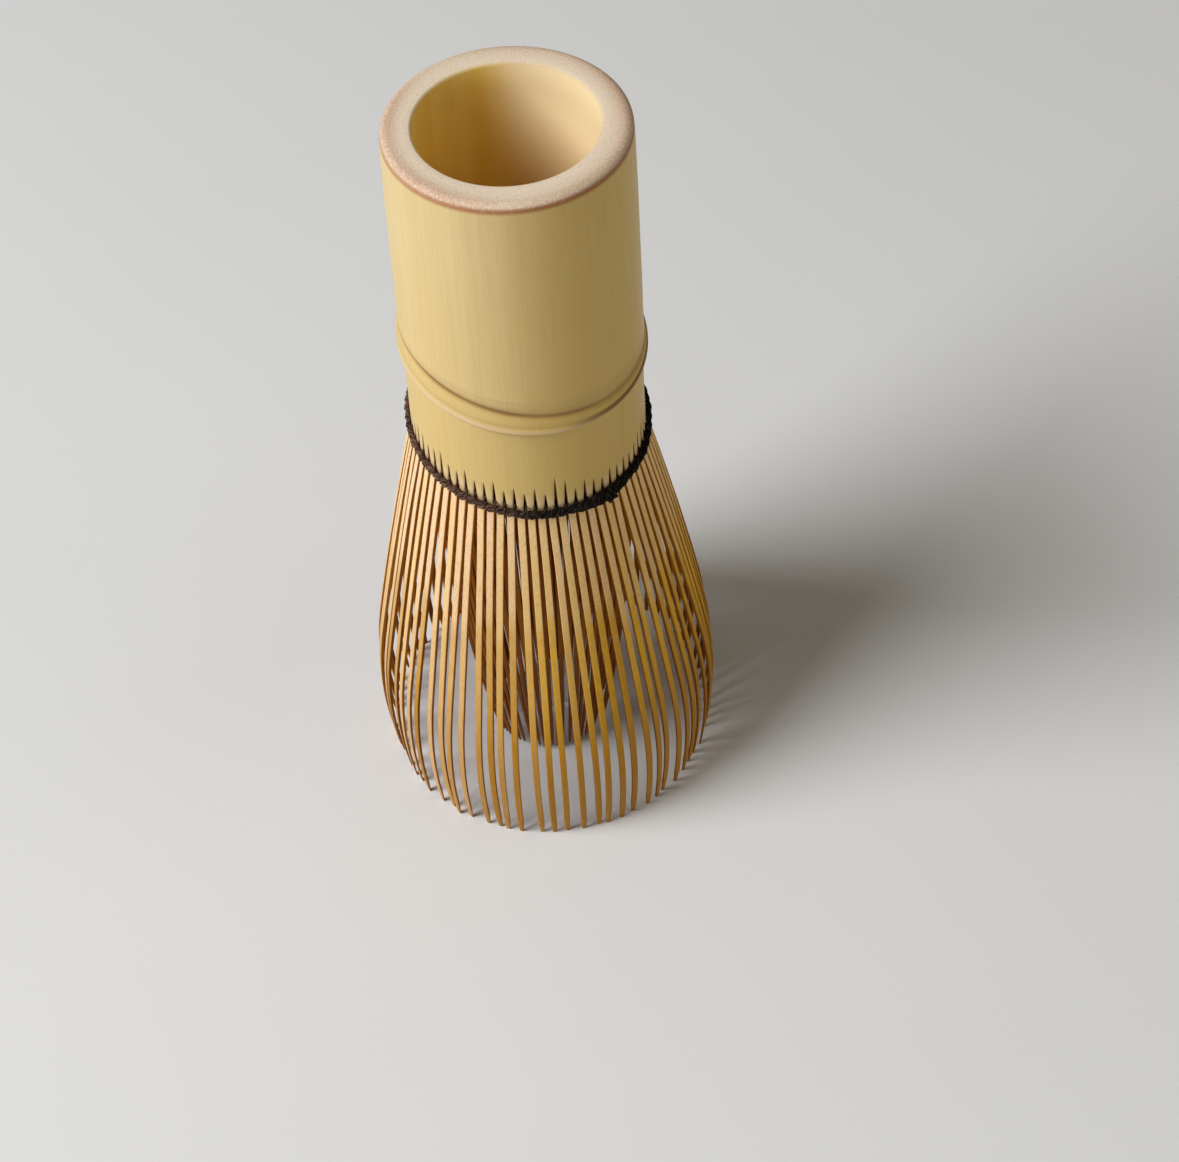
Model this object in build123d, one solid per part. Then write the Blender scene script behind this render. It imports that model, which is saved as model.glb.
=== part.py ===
"""Bamboo tea whisk: a hollow culm handle, a crown split into tines, and a woven cotton thread.

Millimetres, +Z up. The origin is the centre of the circle of tine tips that the whisk stands on.
Azimuth 0 is +X and the front of the whisk is -Y.
"""
import math
import os
import random

from build123d import *

# ---- whole whisk ----
HEIGHT = 110.0             # tine tips to the cut top end
HANDLE_R = 15.0            # culm radius just under the rounded rim
WAIST_R = 15.35            # culm radius above the node
BARREL_R = 15.22           # culm radius halfway down the handle
RIM_ROUND = 1.0            # rounding of the rim's outer edge
BORE_R = 11.1              # hollow of the handle
BORE_LIP = 0.3             # chamfer at the mouth of the bore

# ---- node ring and septum ----
WAIST_Z = 84.0             # the handle turns into the node ring here
GROOVE_DOWNHILL = -34.0    # azimuths towards which the groove and the sheath scar drop, degrees
SCAR_DOWNHILL = -58.0
SEPTUM_TOP = 77.5          # floor of the bore
SEPTUM_BOTTOM = 73.5       # roof of the hollow inside the crown
CROWN_HOLLOW_R = 13.5      # inner radius of the crown

# ---- crown, split outside and inside ----
CROWN_R = 15.25            # outer radius where the thread lies
SLOT_INNER_R = 14.0        # the crown is parted into two layers by a narrow slot
SLOT_OUTER_R = 14.55
SLOT_RISE = 4.8            # how far the slot runs above the thread
SPLIT_RISE = (2.6, 4.2)    # least and most that a split of the outer layer runs above the thread
LONG_SPLIT_SHARE = 0.12    # this share of the splits runs further
LONG_SPLIT_EXTRA = 2.0
INNER_SPLIT_RISE = 3.6     # the inner layer's splits are all alike
SPLIT_SPREAD = 1.25        # a split's foot, as a multiple of the gap between two tines
CUT_OVERLAP = 0.2          # cuts reach this far past the skin that they open

# ---- thread ----
THREAD_Z = 61.8            # height of the thread ring at the axis
THREAD_DOWNHILL = -61.0    # azimuth towards which the thread ring drops, degrees
THREAD_DROP = 3.1          # drop over one crown radius
THREAD_HEIGHT = 1.4
THREAD_STANDOUT = 0.8      # how far the outer row stands out of the crown
THREAD_EDGE = 0.3          # chamfer of the outer row
THREAD_GAP = 0.03          # clearance round every row of thread
INNER_ROW_HEIGHT = 0.9
INNER_ROW_EDGE = 0.12
LOOP_WIDTH = 0.2           # a turn of thread, pressed flat in its split
LOOP_HEIGHT = 0.6
KNOT_AZIMUTH = -54.0
KNOT_R = 1.15
KNOT_OUT = 0.48            # the knot's centre, outside the crown

# ---- tines ----
SECTORS = 18               # the culm is first split into this many staves
TINES_PER_SECTOR = 4       # outer tines cut from each stave
TINES = SECTORS * TINES_PER_SECTOR
INNER_GROUPS = 9           # two staves' inner tines stay together
INNER_PER_GROUP = TINES // INNER_GROUPS
PITCH = 360.0 / TINES
ROOT_BELOW_THREAD = 1.3    # the tines begin this far under the thread's centre
ROOT_GAP = 0.1             # room for a tine's root to turn under the crown
ROOT_ALLOWANCE = 0.3       # a tine's bow starts this far above its trimmed root
TRIM_STOCK = 1.5           # straight length left above the bow, to be trimmed away
TINE_SEED = 72

KNEE = 0.38                # height of the bend, as a fraction of the tine's length
OUTER_R = (15.25, 23.0, 23.1)        # outer tine's skin at root, knee and tip
OUTER_BULGE = (0.25, 1.0)            # outward bow of the stretch above and below the knee
OUTER_THICK = (0.70, 0.46, 0.28)
OUTER_WIDTH = (0.94, 0.84)           # root and tip
INNER_R = (14.0, 11.55, 8.3)
INNER_BULGE = (0.35, 0.3)
INNER_THICK = (0.50, 0.38, 0.25)
INNER_WIDTH = (0.62, 0.42)
INNER_TIP_Z = 0.8          # inner tines stop just short of the outer ones
OUTER_BUNCHING = 0.90      # tines of one stave draw together towards their tips
INNER_BUNCHING = 0.88
OUTER_STRAY = 0.36         # largest sideways stray of an outer tip
INNER_STRAY = 0.08
STAVE_STRAY = 0.16         # largest sideways stray that the tips of an outer stave share
FLARE_STRAY = 0.025        # largest change of a tine's flare, as a fraction


def downhill_plane(z, azimuth, drop, radius=CROWN_R):
    """A plane through the axis at height z that falls by drop over radius towards azimuth."""
    slope = drop / radius
    dx = math.cos(math.radians(azimuth))
    dy = math.sin(math.radians(azimuth))
    return Plane(origin=(0, 0, z), x_dir=(dx, dy, -slope), z_dir=(slope * dx, slope * dy, 1))


def thread_plane(offset=0.0):
    return downhill_plane(THREAD_Z + offset, THREAD_DOWNHILL, THREAD_DROP)


def thread_height(azimuth, offset=0.0):
    """Height of the thread ring on the crown's surface at an azimuth."""
    return THREAD_Z + offset - THREAD_DROP * math.cos(math.radians(azimuth - THREAD_DOWNHILL))


def half_space(side):
    """A block as large as the whisk, on one side of the XY plane."""
    return Box(4 * HANDLE_R, 4 * HANDLE_R, HEIGHT, align=(Align.CENTER, Align.CENTER, side))


def cut_above(shape, plane):
    """What is left of a shape below a slanting plane."""
    return shape - plane * half_space(Align.MIN)


def cut_below(shape, plane):
    """What is left of a shape above a slanting plane."""
    return shape - plane * half_space(Align.MAX)


def slanted_stack(sections):
    """A solid of slanting round sections.

    Each is (height at the axis, radius, drop over the radius, azimuth towards which it drops).
    """
    rings = []
    for z, radius, drop, azimuth in sections:
        slope = drop / radius
        plane = downhill_plane(z, azimuth, drop, radius)
        along_fall = radius * math.sqrt(1 + slope * slope)
        if drop == 0:
            rings.append(plane * Circle(radius))
        else:
            rings.append(plane * Ellipse(along_fall, radius))
    return loft(rings, ruled=True)


def slanted_ring(inner_r, outer_r, height, chamfer):
    """A ring of rope in the thread's plane, with its outer edges chamfered."""
    half = height / 2
    shoulder = half - chamfer
    drop = THREAD_DROP / CROWN_R
    inset_r = outer_r - chamfer
    outside = [
        (THREAD_Z + half, inset_r, drop * inset_r, THREAD_DOWNHILL),
        (THREAD_Z + shoulder, outer_r, drop * outer_r, THREAD_DOWNHILL),
        (THREAD_Z - shoulder, outer_r, drop * outer_r, THREAD_DOWNHILL),
        (THREAD_Z - half, inset_r, drop * inset_r, THREAD_DOWNHILL),
    ]
    hole = Pos(0, 0, THREAD_Z) * Cylinder(inner_r, 4 * HANDLE_R)
    return slanted_stack(outside) - hole


def handle_skin():
    """The smooth culm above the node, turned about the axis, with a rounded rim."""
    rim_z = HEIGHT - RIM_ROUND
    corner = RIM_ROUND * (1 - math.sqrt(0.5))
    barrel = (BARREL_R, (WAIST_Z + rim_z) / 2)
    rim_foot = (HANDLE_R, rim_z)
    rim_middle = (HANDLE_R - corner, HEIGHT - corner)
    rim_top = (HANDLE_R - RIM_ROUND, HEIGHT)
    outline = [
        Line((0, WAIST_Z), (WAIST_R, WAIST_Z)),
        Line((WAIST_R, WAIST_Z), barrel),
        Line(barrel, rim_foot),
        ThreePointArc(rim_foot, rim_middle, rim_top),
        Line(rim_top, (0, HEIGHT)),
        Line((0, HEIGHT), (0, WAIST_Z)),
    ]
    return revolve(Plane.XZ * make_face(outline), Axis.Z)


def node_skin():
    """The slanting node: a fine groove, a swollen band, the sheath scar and the crown under it.

    The groove and the scar slant different ways, so the band between them varies in width.
    """
    sections = [
        (WAIST_Z, WAIST_R, 0.0, GROOVE_DOWNHILL),
        (81.2, 15.36, 1.6, GROOVE_DOWNHILL),
        (78.75, 15.42, 3.05, GROOVE_DOWNHILL),   # upper lip of the groove
        (78.45, 15.28, 3.2, GROOVE_DOWNHILL),    # bottom of the groove
        (78.15, 15.46, 3.2, -36.0),              # lower lip of the groove
        (77.6, 15.66, 3.05, -42.0),              # crest of the band
        (77.0, 15.68, 2.9, -49.0),
        (76.45, 15.86, 2.75, -55.0),             # sheath scar
        (75.95, 15.84, 2.7, SCAR_DOWNHILL),
        (75.6, 15.34, 2.7, SCAR_DOWNHILL),       # undercut below the scar
        (73.4, 15.17, 2.4, SCAR_DOWNHILL),
        (69.0, 15.17, 1.2, SCAR_DOWNHILL),
        (66.0, 15.22, 0.0, SCAR_DOWNHILL),
        (THREAD_Z - 4.5, CROWN_R, 0.0, SCAR_DOWNHILL),
    ]
    return slanted_stack(sections)


def wedge(azimuth, inner_r, outer_r, apex_z, foot_z, foot_width):
    """A thin V cut, wide at the foot and closed at the apex, reaching between two radii."""
    half = foot_width / 2
    outline = Polyline((-half, foot_z), (half, foot_z), (0, apex_z), close=True)
    blade = extrude(Plane.YZ.offset(inner_r) * make_face(outline), amount=outer_r - inner_r)
    return Rot(0, 0, azimuth) * blade


def outer_azimuth(index):
    """Outer tines stand half a pitch off the splits of the crown."""
    return (index + 0.5) * PITCH


def inner_azimuth(index):
    """Inner tines stand behind the splits, between two outer tines."""
    return (index + 1) * PITCH


def slot():
    """The narrow ring that parts the crown into an outer and an inner layer."""
    ring = Cylinder(SLOT_OUTER_R, 4 * SLOT_RISE) - Cylinder(SLOT_INNER_R, 5 * SLOT_RISE)
    return cut_above(Pos(0, 0, THREAD_Z) * ring, thread_plane(SLOT_RISE))


def splits():
    """The V cuts between the roots of neighbouring tines, in both layers of the crown."""
    chance = random.Random(TINE_SEED)
    outer_foot = SPLIT_SPREAD * (math.radians(PITCH) * CROWN_R - OUTER_WIDTH[0])
    inner_foot = SPLIT_SPREAD * (math.radians(PITCH) * SLOT_INNER_R - INNER_WIDTH[0])
    cuts = []
    for index in range(TINES):
        azimuth = index * PITCH
        rise = chance.uniform(*SPLIT_RISE)
        if chance.random() < LONG_SPLIT_SHARE:
            rise += LONG_SPLIT_EXTRA
        apex = thread_height(azimuth, rise + THREAD_HEIGHT / 2)
        low = thread_height(azimuth) - 2 * ROOT_BELOW_THREAD
        cuts.append(wedge(azimuth, SLOT_OUTER_R - CUT_OVERLAP, CROWN_R + 1, apex, low, outer_foot))
        azimuth = outer_azimuth(index)
        apex = thread_height(azimuth, INNER_SPLIT_RISE)
        low = thread_height(azimuth) - 2 * ROOT_BELOW_THREAD
        cuts.append(wedge(azimuth, CROWN_HOLLOW_R - CUT_OVERLAP, SLOT_INNER_R + CUT_OVERLAP,
                          apex, low, inner_foot))
    return cuts


def culm():
    """The single piece of bamboo: handle, node, septum and the split crown."""
    upward = (Align.CENTER, Align.CENTER, Align.MIN)
    downward = (Align.CENTER, Align.CENTER, Align.MAX)
    bore = Pos(0, 0, SEPTUM_TOP) * Cylinder(BORE_R, HEIGHT, align=upward)
    lip = Pos(0, 0, HEIGHT - BORE_LIP / 2) * Cone(BORE_R, BORE_R + BORE_LIP, BORE_LIP)
    hollow = Pos(0, 0, SEPTUM_BOTTOM) * Cylinder(CROWN_HOLLOW_R, HEIGHT, align=downward)
    body = handle_skin() + node_skin()
    body = body - bore - lip - hollow - slot()
    body = cut_below(body, thread_plane(ROOT_GAP - ROOT_BELOW_THREAD))
    return body - splits()


def bowed(start, end, bulge):
    """An arc from start to end that bows outward, to larger x, by bulge."""
    dx = end[0] - start[0]
    dz = end[1] - start[1]
    length = math.hypot(dx, dz)
    middle = ((start[0] + end[0]) / 2 - bulge * dz / length, (start[1] + end[1]) / 2 + bulge * dx / length)
    return ThreePointArc(start, middle, end)


def tine(azimuth, radii, bulge, thick, width, root_z, tip_z, flare, side_shift):
    """One tine: a flat strip of bamboo, bowed in its radial plane and tapered to its tip."""
    length = root_z - tip_z
    knee_z = tip_z + KNEE * length
    grown = [radii[0]] + [radii[0] + (r - radii[0]) * (1 + flare) for r in radii[1:]]
    top_z = root_z + TRIM_STOCK
    root, knee, tip = (grown[0], root_z), (grown[1], knee_z), (grown[2], tip_z)
    back_root = (root[0] - thick[0], root_z)
    back_knee = (knee[0] - thick[1], knee_z)
    back_tip = (tip[0] - thick[2], tip_z)
    side_view = make_face([
        Line((back_root[0], top_z), (root[0], top_z)),
        Line((root[0], top_z), root),
        bowed(root, knee, bulge[0]),
        bowed(knee, tip, bulge[1]),
        Line(tip, back_tip),
        bowed(back_knee, back_tip, bulge[1]),
        bowed(back_root, back_knee, bulge[0]),
        Line(back_root, (back_root[0], top_z)),
    ])
    slab = extrude(Plane.XZ * side_view, amount=CROWN_R / 4, both=True)
    half_root = width[0] / 2
    half_tip = width[1] / 2
    front_view = make_face(Polyline(
        (-half_root, top_z), (half_root, top_z), (half_root, root_z),
        (side_shift + half_tip, tip_z), (side_shift - half_tip, tip_z), (-half_root, root_z), close=True))
    strip = extrude(Plane.YZ * front_view, amount=2 * max(grown))
    return Rot(0, 0, azimuth) * (slab & strip)


def tine_group(first, count, outer):
    """The tines of one stave, each a separate solid, trimmed to the slant under the thread."""
    radii = OUTER_R if outer else INNER_R
    bulge = OUTER_BULGE if outer else INNER_BULGE
    thick = OUTER_THICK if outer else INNER_THICK
    width = OUTER_WIDTH if outer else INNER_WIDTH
    tip_z = 0.0 if outer else INNER_TIP_Z
    bunching = OUTER_BUNCHING if outer else INNER_BUNCHING
    own_stray = OUTER_STRAY if outer else INNER_STRAY
    shared_stray = 0.0
    if outer:
        shared_stray = STAVE_STRAY * random.Random(TINE_SEED + first).uniform(-1, 1)
    middle = (count - 1) / 2
    trim = thread_plane(-ROOT_BELOW_THREAD)
    solids = []
    for place in range(count):
        index = first + place
        chance = random.Random(TINE_SEED * 1000 + index + (0 if outer else TINES))
        stray = own_stray * chance.uniform(-1, 1) + shared_stray
        flare = chance.uniform(-FLARE_STRAY, FLARE_STRAY)
        azimuth = outer_azimuth(index) if outer else inner_azimuth(index)
        root_z = thread_height(azimuth, ROOT_ALLOWANCE - ROOT_BELOW_THREAD)
        drawn_in = math.radians((middle - place) * PITCH * (1 - bunching)) * radii[2]
        strip = tine(azimuth, radii, bulge, thick, width, root_z, tip_z, flare, drawn_in + stray)
        solids.append(cut_above(strip, trim))
    return Compound(children=solids)


def outer_thread_row():
    return slanted_ring(CROWN_R + THREAD_GAP, CROWN_R + THREAD_STANDOUT, THREAD_HEIGHT, THREAD_EDGE)


def inner_thread_row():
    """The row that lies in the slot and holds the two rings of tines apart."""
    inner_r = SLOT_INNER_R + THREAD_GAP
    outer_r = SLOT_OUTER_R - THREAD_GAP
    return slanted_ring(inner_r, outer_r, INNER_ROW_HEIGHT, INNER_ROW_EDGE)


def thread_loops():
    """Short turns of thread through the splits, from the inner row to the outer row."""
    start = SLOT_OUTER_R - THREAD_GAP / 3
    reach = CROWN_R - SLOT_OUTER_R + THREAD_GAP
    loops = []
    for index in range(TINES):
        azimuth = index * PITCH
        bar = Box(reach, LOOP_WIDTH, LOOP_HEIGHT)
        loops.append(Rot(0, 0, azimuth) * Pos(start + reach / 2, 0, thread_height(azimuth)) * bar)
    return Compound(children=loops)


def thread_knot():
    """The flat knot that ends the thread, over the outer row."""
    ball = Pos(CROWN_R + KNOT_OUT, 0, thread_height(KNOT_AZIMUTH)) * Sphere(KNOT_R)
    crown_core = Cylinder(CROWN_R + THREAD_GAP, 3 * HEIGHT)
    row_r = CROWN_R + THREAD_STANDOUT + THREAD_GAP
    row = slanted_ring(CROWN_R, row_r, THREAD_HEIGHT + 2 * THREAD_GAP, THREAD_EDGE)
    return Rot(0, 0, KNOT_AZIMUTH) * ball - crown_core - row


def write(name, shape):
    export_step(shape, "parts/" + name + ".step")


def main():
    os.makedirs("parts", exist_ok=True)
    write("culm_handle", culm())
    write("thread_outer_row", outer_thread_row())
    write("thread_inner_row", inner_thread_row())
    write("thread_loops", thread_loops())
    write("thread_knot", thread_knot())
    for sector in range(SECTORS):
        group = tine_group(sector * TINES_PER_SECTOR, TINES_PER_SECTOR, True)
        write("outer_tines_%02d" % (sector + 1), group)
    for number in range(INNER_GROUPS):
        group = tine_group(number * INNER_PER_GROUP, INNER_PER_GROUP, False)
        write("inner_tines_%02d" % (number + 1), group)


main()
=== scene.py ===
# The looks of the bamboo tea whisk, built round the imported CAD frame. Metres, +Z up, front at -Y.
import math
import random

import bmesh
import bpy
from mathutils import Matrix, Vector


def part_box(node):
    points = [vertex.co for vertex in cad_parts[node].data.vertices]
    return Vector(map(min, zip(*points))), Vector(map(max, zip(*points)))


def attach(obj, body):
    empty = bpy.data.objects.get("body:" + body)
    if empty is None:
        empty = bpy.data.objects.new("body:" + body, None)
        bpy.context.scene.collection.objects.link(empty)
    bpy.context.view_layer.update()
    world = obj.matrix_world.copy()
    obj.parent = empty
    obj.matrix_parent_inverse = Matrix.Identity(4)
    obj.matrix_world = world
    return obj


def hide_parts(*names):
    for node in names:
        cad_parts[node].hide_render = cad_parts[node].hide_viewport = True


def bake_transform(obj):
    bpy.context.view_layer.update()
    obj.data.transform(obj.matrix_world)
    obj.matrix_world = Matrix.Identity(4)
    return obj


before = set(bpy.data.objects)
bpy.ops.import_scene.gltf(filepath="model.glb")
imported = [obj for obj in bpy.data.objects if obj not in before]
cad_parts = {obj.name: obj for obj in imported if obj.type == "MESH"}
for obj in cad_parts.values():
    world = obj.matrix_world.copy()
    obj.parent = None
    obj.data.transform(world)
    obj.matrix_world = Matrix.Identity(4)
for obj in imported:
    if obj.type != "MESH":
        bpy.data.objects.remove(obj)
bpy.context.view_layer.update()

MM = 0.001
TURN = 2 * math.pi

# ---- driving dimensions, in millimetres, as in the CAD model ----
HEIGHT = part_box("culm_handle")[1].z / MM
HANDLE_R, BARREL_R, WAIST_R = 15.0, 15.22, 15.35
BARREL_Z = 95.5
WAIST_Z = 84.0
RIM_ROUND = 1.0
BORE_R = 11.1
BORE_LIP = 0.3
SEPTUM_TOP, SEPTUM_BOTTOM = 77.5, 73.5
GROOVE_DOWNHILL, SCAR_DOWNHILL = -34, -58      # degrees
CROWN_HOLLOW_R = 13.5
CROWN_R = 15.25
SLOT_OUTER_R = 14.55
SLOT_RISE = 4.8

SPLIT_RISE = (2.6, 4.2)
LONG_SPLIT_SHARE = 0.12
LONG_SPLIT_EXTRA = 2.0

THREAD_Z = 61.8
THREAD_DOWNHILL = math.radians(-61)
THREAD_DROP = 3.1
THREAD_HEIGHT = 1.4
KNOT_AZIMUTH = math.radians(-54)

SECTORS, TINES_PER_SECTOR = 18, 4
TINES = SECTORS * TINES_PER_SECTOR
INNER_GROUPS = 9
INNER_PER_GROUP = TINES // INNER_GROUPS
PITCH = TURN / TINES
ROOT_BELOW_THREAD = 1.3
ROOT_ALLOWANCE = 0.3
TINE_SEED = 72
KNEE = 0.38
FLARE_STRAY = 0.025
OUTER = {"radii": (15.25, 23.0, 23.1), "bulge": (0.25, 1.0), "thick": (0.70, 0.46, 0.28),
         "width": (0.94, 0.84), "root_width": 0.94, "tip_z": 0.0, "bunching": 0.90, "stray": 0.36,
         "stave_stray": 0.16, "seed": 0}
INNER = {"radii": (14.0, 11.55, 8.3), "bulge": (0.35, 0.3), "thick": (0.50, 0.38, 0.25),
         "width": (0.98, 0.44), "root_width": 1.17, "tip_z": 0.8, "bunching": 0.88, "stray": 0.08,
         "stave_stray": 0.0, "seed": TINES}
BODY = "whisk_body"


def smooth(low, high, value):
    """0 up to low, 1 from high on, and an easy curve between. Low may be the larger of the two."""
    t = min(1.0, max(0.0, (value - low) / (high - low)))
    return t * t * (3 - 2 * t)


def lerp(a, b, t):
    return a + (b - a) * t


def thread_height(azimuth, offset=0.0):
    """Height of the thread on the crown's surface at an azimuth."""
    return THREAD_Z + offset - THREAD_DROP * math.cos(azimuth - THREAD_DOWNHILL)


def make_piece(name, verts, faces, materials, face_slots=None, colours=None):
    """A mesh object from points in millimetres, with one material slot index for each face."""
    mesh = bpy.data.meshes.new(name)
    mesh.from_pydata([(x * MM, y * MM, z * MM) for x, y, z in verts], [], faces)
    for material in materials:
        mesh.materials.append(material)
    if face_slots:
        mesh.polygons.foreach_set("material_index", face_slots)
    for key, values in (colours or {}).items():
        attribute = mesh.color_attributes.new(key, "FLOAT_COLOR", "POINT")
        attribute.data.foreach_set("color", [c for value in values for c in (*value, 1.0)])
    mesh.update()
    mesh.shade_smooth()
    piece = bpy.data.objects.new(name, mesh)
    bpy.context.scene.collection.objects.link(piece)
    return piece


# ---------------------------------------------------------------- materials

class Nodes:
    """A short way to write a node tree."""

    def __init__(self, name):
        self.material = bpy.data.materials.new(name)
        self.material.use_nodes = True
        self.tree = self.material.node_tree
        self.shader = self.tree.nodes["Principled BSDF"]

    def add(self, kind, inputs=None, **settings):
        node = self.tree.nodes.new(kind)
        for key, value in settings.items():
            setattr(node, key, value)
        for key, value in (inputs or {}).items():
            self.feed(node.inputs[key], value)
        return node

    def feed(self, socket, value):
        if isinstance(value, bpy.types.NodeSocket):
            self.tree.links.new(value, socket)
        else:
            socket.default_value = value

    def math(self, operation, a, b=0.0, clamp=False):
        node = self.add("ShaderNodeMath", {0: a, 1: b}, operation=operation, use_clamp=clamp)
        return node.outputs[0]

    def mix(self, factor, a, b, blend="MIX"):
        node = self.add("ShaderNodeMix", data_type="RGBA", blend_type=blend, clamp_factor=True)
        self.feed(node.inputs["Factor"], factor)
        self.feed(node.inputs[6], a)
        self.feed(node.inputs[7], b)
        return node.outputs[2]

    def step(self, value, low, high):
        """0 to 1 as value goes from low to high."""
        node = self.add("ShaderNodeMapRange", {"Value": value, "From Min": low, "From Max": high},
                        interpolation_type="SMOOTHSTEP")
        return node.outputs["Result"]

    def place(self, scale):
        """Object coordinates in millimetres, times a scale for each axis."""
        coordinates = self.add("ShaderNodeTexCoord").outputs["Object"]
        factors = [s / MM for s in scale]
        return self.add("ShaderNodeVectorMath", {0: coordinates, 1: factors}, operation="MULTIPLY").outputs[0]

    def noise(self, vector, detail=3.0, roughness=0.5):
        node = self.add("ShaderNodeTexNoise", {"Vector": vector, "Scale": 1.0, "Detail": detail,
                                                "Roughness": roughness})
        return node.outputs["Fac"]

    def attribute(self, name):
        node = self.add("ShaderNodeAttribute", attribute_name=name)
        split = self.add("ShaderNodeSeparateColor", {0: node.outputs["Color"]})
        return split.outputs[0], split.outputs[1], split.outputs[2], node.outputs["Vector"]

    def finish(self, colour, roughness, height=None, depth=0.01, **uniform):
        """Feed the shader: height is a 0 to 1 relief, depth its size in millimetres."""
        self.feed(self.shader.inputs["Base Color"], colour)
        self.feed(self.shader.inputs["Roughness"], roughness)
        if height is not None:
            bump = self.add("ShaderNodeBump", {"Height": height, "Distance": depth * MM, "Strength": 1.0})
            self.feed(self.shader.inputs["Normal"], bump.outputs[0])
        for key, value in uniform.items():
            self.shader.inputs[key.replace("_", " ")].default_value = value
        return self.material


def rgb(r, g, b):
    return (r, g, b, 1.0)


def culm_material():
    """Bamboo: waxy skin outside, a sawn end, and the pale papery lining of the bore."""
    n = Nodes("bamboo_culm")
    node_lines_and_painted_light, scar, burn, _ = n.attribute("marks")
    sawn, bore, tint_and_painted_shade, _ = n.attribute("zones")
    peeled, cleft_shade, _, _ = n.attribute("peel")

    fibres = n.noise(n.place((3.2, 3.2, 0.05)), detail=4.0)
    broad = n.noise(n.place((0.42, 0.42, 0.012)), detail=2.0)
    blotch = n.noise(n.place((0.16, 0.16, 0.05)), detail=3.0)
    flecks = n.noise(n.place((7.0, 7.0, 0.55)), detail=2.0, roughness=0.7)

    skin = n.mix(n.step(broad, 0.30, 0.72), rgb(0.70, 0.545, 0.265), rgb(0.67, 0.51, 0.235))
    skin = n.mix(n.math("MULTIPLY", n.step(blotch, 0.46, 0.70), 0.30), skin, rgb(0.72, 0.57, 0.30))
    # tint of the node band and the handle's foot, and painted shade: more olive on the side away from the light
    skin = n.mix(n.math("MULTIPLY", tint_and_painted_shade, 0.85), skin, rgb(0.62, 0.41, 0.080))
    skin = n.mix(n.math("MULTIPLY", n.step(fibres, 0.42, 0.66), 0.10), skin, rgb(0.45, 0.28, 0.08))
    skin = n.mix(n.math("MULTIPLY", n.step(flecks, 0.64, 0.78), 0.20), skin, rgb(0.33, 0.18, 0.05))
    skin = n.mix(n.math("MULTIPLY", peeled, 0.80), skin, rgb(0.80, 0.58, 0.35))
    # the node's brown lines, and painted shadow of the ring's relief
    skin = n.mix(n.math("MULTIPLY", node_lines_and_painted_light, 0.88), skin, rgb(0.22, 0.090, 0.015))
    skin = n.mix(n.math("MULTIPLY", scar, 0.75), skin, rgb(0.74, 0.54, 0.37))

    vessels = n.add("ShaderNodeTexVoronoi", {"Vector": n.place((2.3, 2.3, 2.3)), "Scale": 1.0,
                                              "Randomness": 0.85}).outputs["Distance"]
    pith = n.noise(n.place((4.5, 4.5, 4.5)), detail=4.0, roughness=0.65)
    end = n.mix(n.step(pith, 0.32, 0.70), rgb(0.94, 0.82, 0.66), rgb(0.82, 0.65, 0.49))
    end = n.mix(n.math("MULTIPLY", scar, n.step(pith, 0.20, 0.62)), end, rgb(0.56, 0.35, 0.23))
    spots = n.math("SUBTRACT", 1.0, n.step(vessels, 0.08, 0.26))
    end = n.mix(n.math("MULTIPLY", spots, 0.40), end, rgb(0.36, 0.20, 0.11))

    streaks = n.noise(n.place((0.55, 0.55, 0.012)), detail=3.0)
    lining = n.mix(n.step(streaks, 0.35, 0.65), rgb(0.88, 0.63, 0.17), rgb(0.85, 0.57, 0.12))
    # painted light: paler on the bore's +X wall, where the light falls, partly a pale streak
    lining = n.mix(node_lines_and_painted_light, lining, rgb(0.88, 0.72, 0.44))
    # painted shade: the lining turns deeper amber towards the septum and in the crown's hollow, as shade in the
    # recess
    lining = n.mix(n.math("MULTIPLY", tint_and_painted_shade, 0.5), lining, rgb(0.75, 0.42, 0.05))

    colour = n.mix(sawn, skin, end)
    colour = n.mix(n.math("MULTIPLY", burn, n.step(pith, 0.05, 0.50)), colour, rgb(0.36, 0.13, 0.04))
    colour = n.mix(bore, colour, lining)
    # painted shade: the inner side of the fingers and the edges of the splits are near-black brown, as shade
    # inside the splits
    colour = n.mix(cleft_shade, colour, rgb(0.085, 0.028, 0.006))

    rough = n.math("ADD", n.math("MULTIPLY", fibres, 0.22), 0.30)
    rough = n.math("ADD", rough, n.math("MULTIPLY", n.math("ADD", sawn, bore), 0.25), clamp=True)
    relief = n.math("ADD", n.math("MULTIPLY", fibres, 0.5), n.math("MULTIPLY", pith, 0.5))
    return n.finish(colour, rough, relief, depth=0.02, Specular_IOR_Level=0.26, Coat_Weight=0.05,
                    Coat_Roughness=0.32)


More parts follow.
